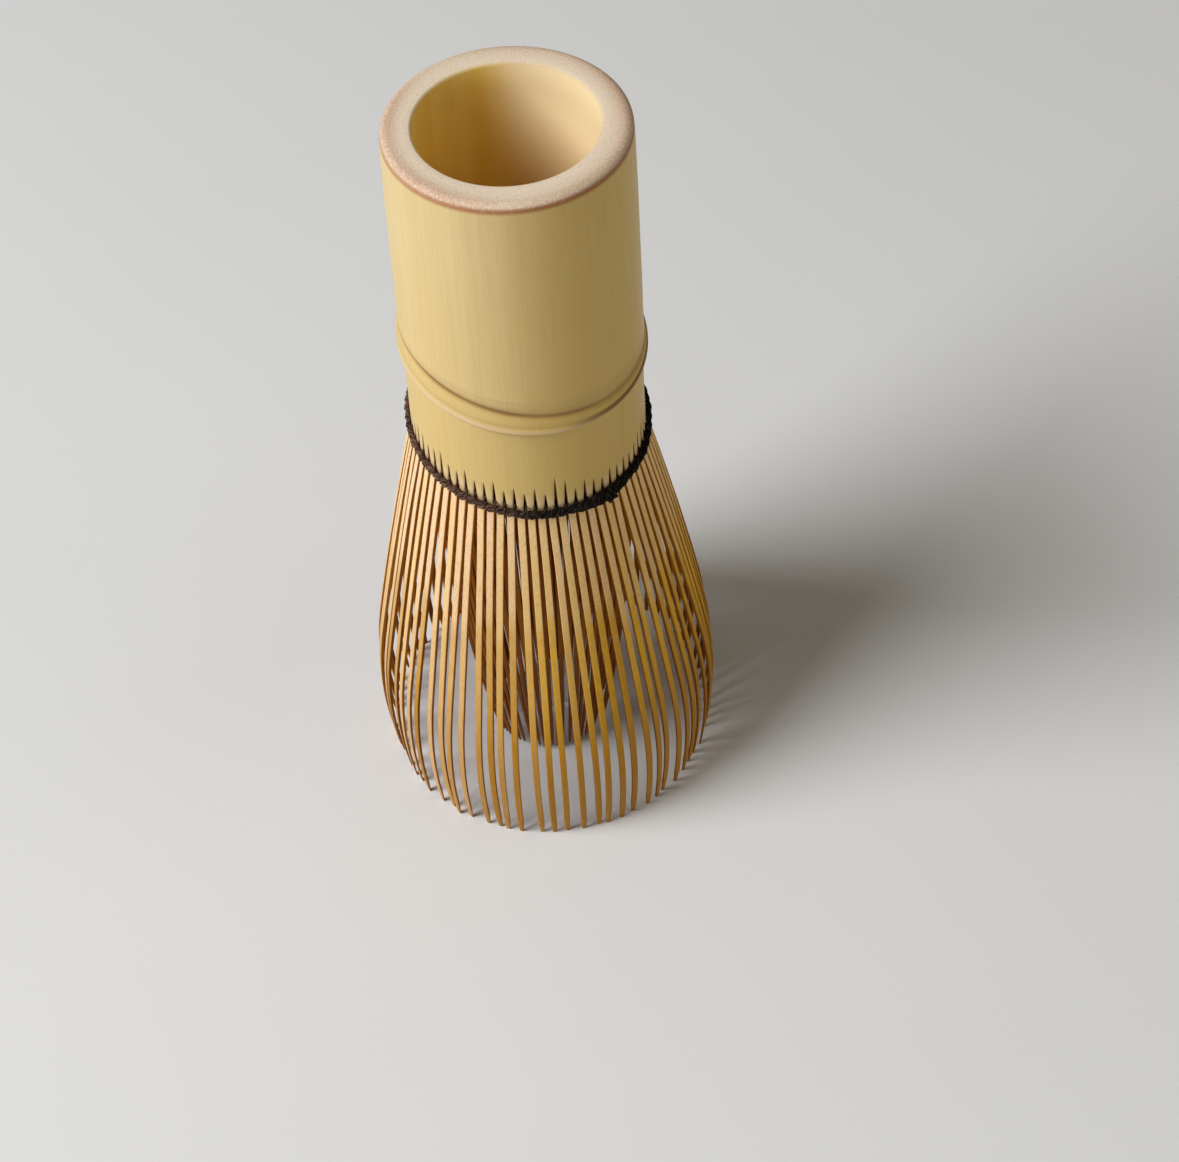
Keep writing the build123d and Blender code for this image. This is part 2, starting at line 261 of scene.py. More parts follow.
def tine_material(name, skin_tones, wet_tones, gloss):
    """A tine's face: dry at the root, then tea-soaked and wet-looking towards the tip, where its deepest tone is
    partly painted shade.

    skin_tones are for the left and the right of the whisk, wet_tones for left, right, fibres and depth; the
    right's more golden dry tone is painted shade, the left's darker wet tone painted shadow.
    """
    n = Nodes(name)
    along, tone, stain, _ = n.attribute("tine")
    fibres = n.noise(n.place((9.0, 9.0, 0.12)), detail=3.0)
    streak = n.noise(n.place((2.2, 2.2, 0.06)), detail=2.0)
    wet_left, wet_right, wet_fibre, wet_deep = [rgb(*wet_tone) for wet_tone in wet_tones]
    # painted light and shade: paler on the left where the light falls, more golden on the right
    dry = n.mix(tone, rgb(*skin_tones[0]), rgb(*skin_tones[1]))
    # the side of the whisk with streaks: the left's wet tone is painted darker as shadow
    shaded = n.math("ADD", tone, n.math("MULTIPLY", n.math("SUBTRACT", streak, 0.5), 0.7))
    wet = n.mix(n.step(shaded, 0.45, 0.92), wet_left, wet_right)
    # deeper towards the tips: tea stain, and partly painted shade
    wet = n.mix(n.math("MULTIPLY", n.step(along, 0.42, 0.80), 0.9), wet, wet_deep)
    soak = n.math("ADD", stain, n.math("MULTIPLY", n.math("SUBTRACT", streak, 0.5), 0.35), clamp=True)
    colour = n.mix(soak, dry, wet)
    colour = n.mix(n.math("MULTIPLY", n.step(fibres, 0.48, 0.72), 0.35), colour, wet_fibre)
    rough = n.math("ADD", n.math("MULTIPLY", fibres, 0.2),
                   n.math("SUBTRACT", gloss, n.math("MULTIPLY", soak, 0.12)))
    return n.finish(colour, rough, fibres, depth=0.02, Specular_IOR_Level=0.09)


def thread_material():
    """Black cotton, greyed and browned on its high fibres as a painted highlight towards -X, where the light
    falls, and in random patches.
    """
    n = Nodes("black_cotton")
    _, _, _, lay = n.attribute("lay")
    fibres = n.noise(n.add("ShaderNodeVectorMath", {0: lay, 1: (2.6, 2.6, 1.1)}, operation="MULTIPLY").outputs[0],
                     detail=4.0, roughness=0.6)
    lint = n.noise(n.place((2.4, 2.4, 2.4)), detail=3.0)
    fresh = n.mix(n.step(fibres, 0.42, 0.74), rgb(0.004, 0.003, 0.003), rgb(0.022, 0.014, 0.011))
    highlit = n.mix(n.step(fibres, 0.40, 0.64), rgb(0.012, 0.006, 0.004), rgb(0.28, 0.155, 0.10))
    # painted highlight: stronger towards -X, the side facing the light
    west = n.math("MULTIPLY", n.add("ShaderNodeSeparateXYZ", {0: n.place((1.0, 1.0, 1.0))}).outputs[0],
                  -1 / CROWN_R)
    patchy = n.math("MULTIPLY", n.math("SUBTRACT", lint, 0.5), 1.6)
    highlight_and_patches = n.math("ADD", n.step(west, -0.25, 0.55), patchy, clamp=True)
    colour = n.mix(highlight_and_patches, fresh, highlit)
    return n.finish(colour, 0.85, fibres, depth=0.12, Specular_IOR_Level=0.12, Sheen_Weight=0.03,
                    Sheen_Roughness=0.5)


# ---------------------------------------------------------------- the culm

FINGER = (-1.0, -0.86, -0.45, 0.0, 0.45, 0.86, 1.0)     # columns across one finger of the crown
LAST_COLUMN = len(FINGER) - 1
FINGER_ROUND = 0.07             # how far a finger's edges are rounded off
SPLIT_TOP = 7.4                 # rows follow the thread's slant from this far above it
SPLIT_END = 0.1                 # and down to this far above it
CROWN_TOP_Z = THREAD_Z + SPLIT_TOP
SPLIT_STEP = 0.16               # height of one such row
CLEFT = 0.48                    # widest opening of a split, at the thread's top

FINE_ROWS = (75.2, 80.0)        # the node ring has closer rows than the rest
FINE_STEP, COARSE_STEP = 0.14, 0.5

# Brown and pale lines round the node: height and width. GROOVE_SHADE, the undercut line and the right-side line
# are painted shadow of the ring's relief
GROOVE_LINE = (78.42, 0.28)
GROOVE_SHADE = (78.95, 0.6)
FAINT_LINE = (79.9, 0.22)       # over the groove
BAND_LINE = (76.9, 0.12)
RIGHT_SHADOW_LINE = (76.45, 0.38)      # painted shadow along the ridge, on the right only
SCAR_LINE = (76.25, 0.32)
# painted shadow in the undercut under the ridge
UNDERCUT_LINE = (75.50, 0.24)


def fall(drop, degrees):
    """A slant as a vector: how far a section drops towards +X and towards +Y at its radius."""
    return drop * math.cos(math.radians(degrees)), drop * math.sin(math.radians(degrees))


def skin_rows():
    """Rows of the skin from rim to crown: height at the axis, radius, and the slant's two drops."""
    rows = []
    rim_z = HEIGHT - RIM_ROUND
    steps = 8
    for k in range(steps + 1):
        a = 0.5 * math.pi * (1 - k / steps)
        z = rim_z + RIM_ROUND * math.sin(a)
        r = HANDLE_R - RIM_ROUND + RIM_ROUND * math.cos(a)
        rows.append((z, r, 0.0, 0.0))
    for k in range(1, 13):
        z = lerp(rim_z, BARREL_Z, k / 12)
        rows.append((z, lerp(HANDLE_R, BARREL_R, math.sin(0.5 * math.pi * k / 12)), 0.0, 0.0))
    for k in range(1, 9):
        z = lerp(BARREL_Z, WAIST_Z, k / 8)
        rows.append((z, lerp(BARREL_R, WAIST_R, k / 8), 0.0, 0.0))
    ring = [
        (WAIST_Z, WAIST_R, *fall(0.0, GROOVE_DOWNHILL)),
        (81.2, 15.36, *fall(1.6, GROOVE_DOWNHILL)),
        (80.4, 15.39, *fall(2.08, GROOVE_DOWNHILL)),
        (79.7, 15.42, *fall(2.5, GROOVE_DOWNHILL)),
        (79.0, 15.45, *fall(2.95, GROOVE_DOWNHILL)),
        (78.72, 15.38, *fall(3.08, GROOVE_DOWNHILL)),
        (78.45, 15.22, *fall(3.2, GROOVE_DOWNHILL)),       # the groove
        (78.18, 15.34, *fall(3.2, -36)),
        (77.9, 15.52, *fall(3.15, -39)),
        (77.5, 15.64, *fall(3.02, -43)),                   # the band
        (77.0, 15.64, *fall(2.9, -49)),
        (76.85, 15.62, *fall(2.82, -52)),
        (76.60, 15.80, *fall(2.76, -55)),                  # the sheath scar
        (76.25, 15.90, *fall(2.73, -57)),
        (75.90, 15.84, *fall(2.7, SCAR_DOWNHILL)),
        (75.68, 15.55, *fall(2.7, SCAR_DOWNHILL)),
        (75.5, 15.24, *fall(2.7, SCAR_DOWNHILL)),
        (75.1, 15.24, *fall(2.65, SCAR_DOWNHILL)),
        (73.4, 15.18, *fall(2.5, SCAR_DOWNHILL)),
        (CROWN_TOP_Z, 15.17, THREAD_DROP * math.cos(THREAD_DOWNHILL), THREAD_DROP * math.sin(THREAD_DOWNHILL)),
    ]
    for upper, lower in zip(ring, ring[1:]):
        coarse = lower[0] > FINE_ROWS[1] or upper[0] < FINE_ROWS[0]
        count = max(2, round((upper[0] - lower[0]) / (COARSE_STEP if coarse else FINE_STEP)))
        for k in range(1, count + 1):
            rows.append(tuple(lerp(a, b, k / count) for a, b in zip(upper, lower)))
    return rows


def relaxed(rows, passes=3):
    """Round the corners of the row profile a little."""
    for _ in range(passes):
        middle = [tuple(0.25 * a + 0.5 * b + 0.25 * c for a, b, c in zip(p, q, r))
                  for p, q, r in zip(rows, rows[1:], rows[2:])]
        rows = [rows[0]] + middle + [rows[-1]]
    return rows


def slit_apexes():
    """How far above the thread's centre each split of the crown runs."""
    chance = random.Random(TINE_SEED)
    rises = []
    for _ in range(TINES):
        rise = chance.uniform(*SPLIT_RISE)
        if chance.random() < LONG_SPLIT_SHARE:
            rise += LONG_SPLIT_EXTRA
        rises.append(rise + THREAD_HEIGHT / 2)
    return rises


def bell(value, middle, width):
    """A soft line: 1 at the middle, fading over the width."""
    return math.exp(-((value - middle) / width) ** 2)


def haze(azimuth):
    """How brown the sawn end is towards its outer edge, round the rim."""
    return 0.55 + 0.25 * math.sin(2 * azimuth + 1.0) + 0.12 * math.sin(5 * azimuth)


def bumpy(azimuth, z):
    """The small unevenness of a grown culm, in millimetres of radius."""
    wave = math.sin(2 * azimuth + 0.7 + 0.02 * z) * 0.06 + math.sin(3 * azimuth - 1.1) * 0.035
    return wave + math.sin(5 * azimuth + 0.05 * z) * 0.012


def culm_piece(material):
    """Handle, node ring, split crown, septum and bore as one closed skin."""
    rises = slit_apexes()
    gap = PITCH * CROWN_R - OUTER["width"][0]
    rows = relaxed(skin_rows())
    verts, marks, zones, peels, faces = [], [], [], [], []
    split_rows = round((SPLIT_TOP - SPLIT_END) / SPLIT_STEP)
    widest_row = round((SPLIT_TOP - THREAD_HEIGHT / 2) / SPLIT_STEP)
    apex_row = [round((SPLIT_TOP - rise) / SPLIT_STEP) for rise in rises]
    grid = {}

    def put(x, y, z, mark=(0, 0, 0), zone=(0, 0, 0), peel=0.0, cleft_shade=0.0):
        verts.append((x, y, z))
        marks.append(mark)
        zones.append(zone)
        peels.append((peel, cleft_shade, 0.0))
        return len(verts) - 1

    columns = [(finger, place) for finger in range(TINES) for place in range(len(FINGER))]
    strips = [(finger, place) for finger, place in columns if place < LAST_COLUMN]

    def azimuth_of(finger, place, opening=(0.0, 0.0)):
        """A finger's column, moved in from its two edges by the half openings of its two splits."""
        middle = (finger + 0.5) * PITCH
        u = FINGER[place]
        half = 0.5 * PITCH - (opening[0] if u < 0 else opening[1]) / CROWN_R
        return middle + u * half

    # painted shade: the split crown's skin is more olive towards +X, the side away from the light
    def shaded(azimuth):
        return 0.50 + 0.43 * smooth(-0.45, 0.55, math.cos(azimuth))

    def half_opening(split, row):
        """A split is a long wedge, widest where the thread is pulled into it."""
        apex = apex_row[split % TINES]
        below = (row - apex) / (widest_row - apex)
        if below <= 0:
            return 0.0
        if below < 1:
            return 0.5 * CLEFT * below ** 0.9
        return 0.5 * lerp(CLEFT, gap, (row - widest_row) / (split_rows - widest_row))

    # outer skin, rim to split zone
    for k, (z, r, drop_x, drop_y) in enumerate(rows):
        for finger, place in columns:
            a = azimuth_of(finger, place)
            radius = r + bumpy(a, z) * smooth(HEIGHT, HEIGHT - 6, z)
            dx, dy = math.cos(a), math.sin(a)
            # painted shade: towards +X, away from the light, the ridge's lines darken, the groove line pales and
            # the scar's pale line fades
            right_side_shade = smooth(0.25, 0.80, math.cos(a + 0.10))
            node_lines_and_painted_light = bell(z, *GROOVE_LINE) * (1 - 0.35 * right_side_shade) + 0.35 * bell(z, *GROOVE_SHADE)
            node_lines_and_painted_light += 0.16 * bell(z, *FAINT_LINE)
            node_lines_and_painted_light += bell(z, *UNDERCUT_LINE) * lerp(0.55, 1.0, right_side_shade) + 0.30 * bell(z, *BAND_LINE)
            node_lines_and_painted_light += 1.8 * right_side_shade * bell(z, *RIGHT_SHADOW_LINE)
            ragged = 0.84 + 0.16 * math.sin(7 * a + 2) * math.sin(3 * a)
            scar = bell(z, *SCAR_LINE) * (0.85 + 0.15 * math.sin(5 * a)) * (1 - right_side_shade)
            burn = smooth(HEIGHT - 1.35, HEIGHT - 0.95, z) * (1 - 0.85 * smooth(HEIGHT - 0.75, HEIGHT - 0.35, z))
            burn *= 0.82 + 0.18 * math.cos(a + 0.9)
            sawn = smooth(HEIGHT - 0.95, HEIGHT - 0.6, z)
            scar += haze(a) * sawn
            # tint of the node band and the handle's foot, and painted shade: more olive towards +X, the side away
            # from the light
            band_tint_and_painted_shade = 0.20 * smooth(104, 82, z) + 0.30 * smooth(79.2, 77.9, z)
            band_tint_and_painted_shade += (1 - band_tint_and_painted_shade) * 0.85 * smooth(-0.45, 0.55, math.cos(a))
            grid["skin", k, finger, place] = put(radius * dx, radius * dy, z - drop_x * dx - drop_y * dy,
                                                 (min(1, node_lines_and_painted_light * ragged), scar, burn), (sawn, 0, band_tint_and_painted_shade))
    # outer skin, split zone: its rows follow the thread
    last = len(rows)
    for j in range(split_rows + 1):
        for finger, place in columns:
            opening = (half_opening(finger, j), half_opening(finger + 1, j))
            a = azimuth_of(finger, place, opening)
            u = FINGER[place]
            open_here = opening[0] if u < 0 else opening[1]
            inset = FINGER_ROUND * smooth(0.0, 0.08, open_here) * abs(u) ** 6
            radius = lerp(15.17, CROWN_R, smooth(0, split_rows, j)) - inset + bumpy(a, THREAD_Z)
            rise = SPLIT_TOP - j * SPLIT_STEP
            peel_line = 3.3 + 0.45 * math.sin(47 * finger)
            # painted shade at a finger's edge where its split opens
            cleft_edge_shade = 0.55 * abs(u) ** 12 * smooth(0.02, 0.10, open_here)
            grid["skin", last + j, finger, place] = put(radius * math.cos(a), radius * math.sin(a),
                                                         thread_height(a, rise), (0, 0, 0), (0, 0, shaded(a)),
                                                         smooth(peel_line, peel_line - 2.6, rise), cleft_edge_shade)
    total = last + split_rows + 1
    # inner side of the fingers, up to the roof of the slot
    roof = (SPLIT_TOP - SLOT_RISE) / SPLIT_STEP
    inside_rows = [j for j in range(split_rows, -1, -1) if j >= roof]
    for j in inside_rows:
        for finger, place in columns:
            opening = (half_opening(finger, j), half_opening(finger + 1, j))
            a = azimuth_of(finger, place, opening)
            height = thread_height(a, SPLIT_TOP - j * SPLIT_STEP)
            # the inner side of the fingers is painted dark as shade (the last value)
            grid["inside", j, finger, place] = put(SLOT_OUTER_R * math.cos(a), SLOT_OUTER_R * math.sin(a), height,
                                                   (0, 0, 0), (0, 1, 0.9), 0.0, 1.0)

    def quad(a, b, c, d):
        corner = []
        for v in (a, b, c, d):
            if v not in corner:
                corner.append(v)
        if len(corner) > 2:
            faces.append(corner)

    for k in range(total - 1):
        for finger, place in strips:
            quad(grid["skin", k, finger, place], grid["skin", k + 1, finger, place],
                 grid["skin", k + 1, finger, place + 1], grid["skin", k, finger, place + 1])
    for j0, j1 in zip(inside_rows, inside_rows[1:]):
        for finger, place in strips:
            quad(grid["inside", j0, finger, place], grid["inside", j1, finger, place],
                 grid["inside", j1, finger, place + 1], grid["inside", j0, finger, place + 1])
    # finger ends, and the two cheeks of each split
    for finger, place in strips:
        quad(grid["skin", total - 1, finger, place], grid["inside", split_rows, finger, place],
             grid["inside", split_rows, finger, place + 1], grid["skin", total - 1, finger, place + 1])
    right = LAST_COLUMN
    roof_row = inside_rows[-1]
    for split in range(TINES):
        before = (split - 1) % TINES
        for j in range(apex_row[split], split_rows):
            above, below = max(j, roof_row), max(j + 1, roof_row)
            quad(grid["skin", last + j, split, 0], grid["inside", above, split, 0],
                 grid["inside", below, split, 0], grid["skin", last + j + 1, split, 0])
            quad(grid["skin", last + j, before, right], grid["skin", last + j + 1, before, right],
                 grid["inside", below, before, right], grid["inside", above, before, right])
        if apex_row[split] < roof_row:
            faces.append([grid["skin", last + apex_row[split], split, 0], grid["inside", roof_row, before, right],
                          grid["inside", roof_row, split, 0]])

    # roof of the slot, crown hollow, septum, bore and sawn end: plain rings, joined ring to ring
    def ring_points(radius, height, zone, mark=lambda a: (0, 0, 0), slanted=False):
        ids = []
        for finger, place in columns:
            a = azimuth_of(finger, place)
            z = thread_height(a, height) if slanted else height
            ids.append(put(radius * math.cos(a), radius * math.sin(a), z, mark(a), zone))
        return ids

    def join(ring_a, ring_b):
        for i, (_, place) in enumerate(columns):
            if place < LAST_COLUMN:
                quad(ring_a[i], ring_b[i], ring_b[i + 1], ring_a[i + 1])

    def close(ring_ids, height, zone, from_above=False):
        """A fan from a ring to its centre, facing down, or up where it is seen from above."""
        centre = put(0, 0, height, (0, 0, 0), zone)
        for i, (_, place) in enumerate(columns):
            if place < LAST_COLUMN:
                fan = [ring_ids[i], centre, ring_ids[i + 1]]
                faces.append(fan[::-1] if from_above else fan)

    top_inside = [grid["inside", inside_rows[-1], finger, place] for finger, place in columns]
    # the third zone value paints the hollow's lining deeper amber as shade
    hollow = [
        ring_points(CROWN_HOLLOW_R, SPLIT_TOP - inside_rows[-1] * SPLIT_STEP, (0, 1, 0.9), slanted=True),
        ring_points(CROWN_HOLLOW_R, SEPTUM_BOTTOM - 1.5, (0, 1, 0.8)),
        ring_points(CROWN_HOLLOW_R - 0.5, SEPTUM_BOTTOM - 0.4, (0, 1, 0.8)),
        ring_points(CROWN_HOLLOW_R - 2.2, SEPTUM_BOTTOM, (0, 1, 0.8)),
        ring_points(CROWN_HOLLOW_R - 7.0, SEPTUM_BOTTOM, (0, 1, 0.8)),
    ]
    previous = top_inside
    for ring_ids in hollow:
        join(previous, ring_ids)
        previous = ring_ids
    for split in range(TINES):
        if apex_row[split] < roof_row:
            before = (split - 1) % TINES
            faces.append([grid["inside", roof_row, before, right], hollow[0][split * len(FINGER)],
                          grid["inside", roof_row, split, 0]])
    close(previous, SEPTUM_BOTTOM, (0, 1, 0.8))

    top = [grid["skin", 0, finger, place] for finger, place in columns]
    previous = top

    def sawn_mark(radius):
        return lambda a: (0, haze(a) * smooth(12.3, 14.0, radius), 0)

    # painted light: the bore's wall is paler on the +X side, where the light falls, its edge partly a pale streak
    def lit_wall_and_streak(a):
        return (smooth(1.75, 1.15, abs(a - 0.15) if a < math.pi else TURN - a + 0.15), 0, 0)

    for radius in (13.6, 13.0, 12.3, BORE_R + BORE_LIP + 0.15):
        ring_ids = ring_points(radius, HEIGHT, (1, 0, 0), sawn_mark(radius))
        join(ring_ids, previous)
        previous = ring_ids
    bore_rings = [(BORE_R + BORE_LIP, HEIGHT - 0.03, (0.8, 0.1, 0)), (BORE_R + 0.12, HEIGHT - 0.18, (0.6, 0.5, 0)),
                  (BORE_R, HEIGHT - 0.42, (0, 1, 0))]
    # third zone value: painted shade, deeper amber further down the bore
    for k in range(1, 11):
        z = lerp(HEIGHT - 0.42, SEPTUM_TOP + 1.0, k / 10)
        bore_rings.append((BORE_R, z, (0, 1, 0.9 * smooth(0.15, 0.9, k / 10))))
    bore_rings.append((BORE_R - 0.3, SEPTUM_TOP + 0.3, (0, 1, 0.9)))
    bore_rings.append((BORE_R - 1.1, SEPTUM_TOP, (0, 1, 0.9)))
    bore_rings.append((BORE_R - 6.0, SEPTUM_TOP, (0, 1, 0.6)))
    for radius, z, zone in bore_rings:
        ring_ids = ring_points(radius, z, zone, lit_wall_and_streak)
        join(ring_ids, previous)
        previous = ring_ids
    close(previous, SEPTUM_TOP, (0, 1, 0.5), from_above=True)

    piece = make_piece("bamboo_culm", verts, faces, [material],
                       colours={"marks": marks, "zones": zones, "peel": peels})
    weld(piece)
    return piece


def weld(piece):
    """Join coincident points and face everything outward."""
    mesh = piece.data
    work = bmesh.new()
    work.from_mesh(mesh)
    bmesh.ops.remove_doubles(work, verts=work.verts, dist=1e-7)
    bmesh.ops.recalc_face_normals(work, faces=work.faces)
    work.to_mesh(mesh)
    work.free()
    mesh.set_sharp_from_angle(angle=math.radians(38))


# ---------------------------------------------------------------- tines

UPPER_ROWS = 15
LOWER_ROWS = 17
ABOVE_STEP = 0.5                # height of a row above the root, hidden by the thread or the crown
TIP_TAPER = 2.5                 # a tine narrows over this length at its tip
ROOT_LEAN = 0.18                # an outer tine stands up to this far to one side, just below the thread
EASE = 0.055                    # how far the long edges of a tine are eased
SWAY = {"outer": 0.16, "inner": 0.07}     # how far a tine wavers towards its tip
MOST_TWIST = math.radians(14)
TEA_LINE_Z = 42.0


def section(width, thick):
    """A tine's cross-section: (radial, sideways) points, the skin side first, corners eased."""
    w, t = width / 2, thick / 2
    ease_w = min(EASE, 0.3 * w)
    ease_t = min(EASE, 0.35 * t)
    return [
        (t + 0.02, 0.0), (t, w - ease_w), (t - ease_t, w), (-t + ease_t, w), (-t, w - ease_w),
        (-t, 0.0), (-t, -w + ease_w), (-t + ease_t, -w), (t - ease_t, -w), (t, -w + ease_w),
    ]


SKIN_SIDES = (0, 1, 8, 9)      # which sides of the section carry the skin


def tine_mesh(kind, index, azimuth, place, count, store, above):
    """Add one tine, as in the CAD model but with eased corners and a slight waver, to the lists in store."""
    outer = kind is OUTER
    chance = random.Random(TINE_SEED * 1000 + index + kind["seed"])
    shared = kind["stave_stray"] * random.Random(TINE_SEED + index - place).uniform(-1, 1)
    stray = kind["stray"] * chance.uniform(-1, 1) + shared
    flare = chance.uniform(-FLARE_STRAY, FLARE_STRAY)
    waver = [chance.uniform(-1, 1) for _ in range(6)]
    tone = chance.random()
    soak_from = chance.random()
    lean = ROOT_LEAN * chance.uniform(-1, 1) if outer else 0.0
    scale = SWAY["outer" if outer else "inner"]

    root_z = thread_height(azimuth, ROOT_ALLOWANCE - ROOT_BELOW_THREAD)
    tip_z = kind["tip_z"]
    length = root_z - tip_z
    knee_z = tip_z + KNEE * length
    radii = [kind["radii"][0]] + [kind["radii"][0] + (r - kind["radii"][0]) * (1 + flare)
                                  for r in kind["radii"][1:]]
    middle = (count - 1) / 2
    drawn_in = (middle - place) * PITCH * (1 - kind["bunching"]) * kind["radii"][2]
    shift_tip = drawn_in + stray

    stations = []
    for k in range(above, 0, -1):
        stations.append((root_z + k * ABOVE_STEP, radii[0], kind["thick"][0]))
    for k in range(UPPER_ROWS + 1):
        f = k / UPPER_ROWS
        stations.append((lerp(root_z, knee_z, f), lerp(radii[0], radii[1], f) + kind["bulge"][0] * 4 * f * (1 - f),
                         lerp(kind["thick"][0], kind["thick"][1], f)))
    for k in range(1, LOWER_ROWS + 1):
        f = k / LOWER_ROWS
        stations.append((lerp(knee_z, tip_z, f), lerp(radii[1], radii[2], f) + kind["bulge"][1] * 4 * f * (1 - f),
                         lerp(kind["thick"][1], kind["thick"][2], f)))

    verts, faces, slots, colours = store
    side = (math.cos(azimuth), math.sin(azimuth))
    rings = []
    for z, r, thick in stations:
        down = max(0.0, (root_z - z) / length)
        near_tip = smooth(TIP_TAPER, 0.0, z - tip_z)
        width = lerp(kind["width"][0], kind["width"][1], down) * (1 - 0.35 * near_tip)
        width = lerp(width, kind["root_width"], smooth(0.4, 1.6, z - root_z))
        thick = thick * (1 - 0.30 * near_tip)
        sway = scale * down * (waver[0] * math.sin(3.1 * down + 3 * waver[1])
                               + 0.4 * waver[2] * math.sin(9 * down))
        depth = scale * down * (waver[3] * math.sin(4.0 * down + 3 * waver[4]))
        twist = MOST_TWIST * waver[5] * down * down
        shift = shift_tip * down + sway + lean * smooth(0.0, 0.16, down)
        ring_ids = []
        for radial, across in section(width, thick):
            turned_r = radial * math.cos(twist) - across * math.sin(twist)
            turned_a = radial * math.sin(twist) + across * math.cos(twist)
            rr = r - thick / 2 + turned_r + depth
            aa = shift + turned_a
            ring_ids.append(len(verts))
            verts.append((rr * side[0] - aa * side[1], rr * side[1] + aa * side[0], z))
            # second value: a random tone mixed with the side of the whisk, which carries the painted light and
            # shade of the left and right tones
            colours.append((down, 0.45 * tone + 0.55 * (0.5 + 0.5 * math.cos(azimuth + 0.4)),
                            soak(kind, azimuth, z, soak_from)))
        rings.append(ring_ids)
    sides = len(rings[0])
    for upper, lower in zip(rings, rings[1:]):
        for s in range(sides):
            e = (s + 1) % sides
            faces.append([upper[s], upper[e], lower[e], lower[s]])
            slots.append(0 if s in SKIN_SIDES else 1)
    faces.append(list(reversed(rings[0])))
    faces.append(list(rings[-1]))
    slots.extend((1, 1))


def soak(kind, azimuth, z, share):
    """How far tea has soaked into a tine: below an old tea line, more towards the tips and on the right."""
    line = TEA_LINE_Z + 1.2 * math.sin(3 * azimuth) + 5 * (share - 0.5)
    rightness = 0.5 + 0.5 * math.cos(azimuth + 0.5)
    strength = lerp(0.20 + 0.80 * share, 0.80 + 0.20 * share, rightness)
    value = strength * (0.60 * smooth(line, line - 3.5, z) + 0.40 * smooth(line - 3, 12, z))
    above = 0.40 * rightness * smooth(line + 18, line, z)
    value = min(1.0, value + above)
    if kind is INNER:
        value = 0.45 + 0.55 * value
    return value


def tine_piece(name, kind, first, count, azimuth_of_index, materials, above):
    store = ([], [], [], [])
    for place in range(count):
        index = first + place
        tine_mesh(kind, index, azimuth_of_index(index), place, count, store, above)
    verts, faces, slots, colours = store
    piece = make_piece(name, verts, faces, materials, slots, {"tine": colours})
    weld(piece)
    return piece


def bend(piece):
    """Bake the piece's placement into its mesh; the tines are not bent here."""
    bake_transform(piece)


# ---------------------------------------------------------------- thread

WRAP_R = CROWN_R + 0.44         # centre of the outer row
SPACER_R = 14.28                # centre of the row in the slot
WRAP_TURNS = 52
PLY_SPREAD = (1.02, 1.12)       # how far plies lie from the rope's centre, outward and upward, in ply radii


def even(outward, travelled):
    """The same thickness everywhere."""
    return 1.0


def lumpy(outward, travelled):
    """The binding's thickness: uneven all round, and fullest beside the knot."""
    azimuth = math.atan2(outward[1], outward[0])
    full = 0.38 * bell(azimuth, KNOT_AZIMUTH - 0.02, 0.20) + 0.10 * bell(azimuth, KNOT_AZIMUTH, 0.6)
    return 0.97 + full + 0.06 * math.sin(31 * azimuth + 1) + 0.05 * math.sin(47 * azimuth) * math.sin(5 * azimuth)


def twisted_rope(name, path, closed, plies, ply_r, twist_per_mm, squash, material, rows, sides=7, swell=even):
    """Plies wound round a path of (point, outward, upward, travelled length) stations."""
    verts, faces, lay = [], [], []
    for ply in range(plies):
        start = len(verts)
        for k in range(rows):
            point, outward, upward, travelled = path(k / (rows if closed else rows - 1))
            along = TURN * twist_per_mm * travelled + TURN * ply / plies
            size = ply_r * swell(outward, travelled)
            centre_out = size * PLY_SPREAD[0] * math.cos(along) * squash
            centre_up = size * PLY_SPREAD[1] * math.sin(along)
            for s in range(sides):
                around = TURN * s / sides
                out = centre_out + size * math.cos(around) * squash
                up = centre_up + size * math.sin(around)
                verts.append(tuple(point[i] + outward[i] * out + upward[i] * up for i in range(3)))
                roll = around - along
                lay.append((math.cos(roll), math.sin(roll), travelled))
        for k in range(rows if closed else rows - 1):
            for s in range(sides):
                a = start + k * sides + s
                b = start + k * sides + (s + 1) % sides
                nxt = start + ((k + 1) % rows) * sides
                faces.append([a, b, nxt + (s + 1) % sides, nxt + s])
        if not closed:
            faces.append([start + s for s in reversed(range(sides))])
            faces.append([start + (rows - 1) * sides + s for s in range(sides)])
    piece = make_piece(name, verts, faces, [material], colours={"lay": lay})
    weld(piece)
    return piece


def ring_path(radius, lift, waviness):
    """A path round the crown in the thread's plane, pressed into every split."""
    def at(f):
        a = TURN * f
        crest = math.cos(TINES * (a - PITCH / 2))
        r = radius + waviness * crest + 0.03 * math.sin(11 * a)
        z = thread_height(a, lift) + 0.05 * math.sin(9 * a + 1) + 0.04 * math.sin(23 * a)
        point = (r * math.cos(a), r * math.sin(a), z)
        return point, (math.cos(a), math.sin(a), 0.0), (0.0, 0.0, 1.0), r * a
    return at


def stitch_path(azimuth, lean):
    """One turn of thread that leaves the outer row, rises and goes in through a split."""
    def at(f):
        a = azimuth + lean * (1 - f)
        r = lerp(CROWN_R + 0.42, SLOT_OUTER_R - 0.1, smooth(0.15, 1.0, f))
        z = thread_height(azimuth, lerp(0.35, 1.15, math.sin(0.5 * math.pi * f)))
        outward = (math.cos(a), math.sin(a), 0.0)
        sideways = (-math.sin(a), math.cos(a), 0.0)
        return (r * outward[0], r * outward[1], z), outward, sideways, 2.0 * f
    return at


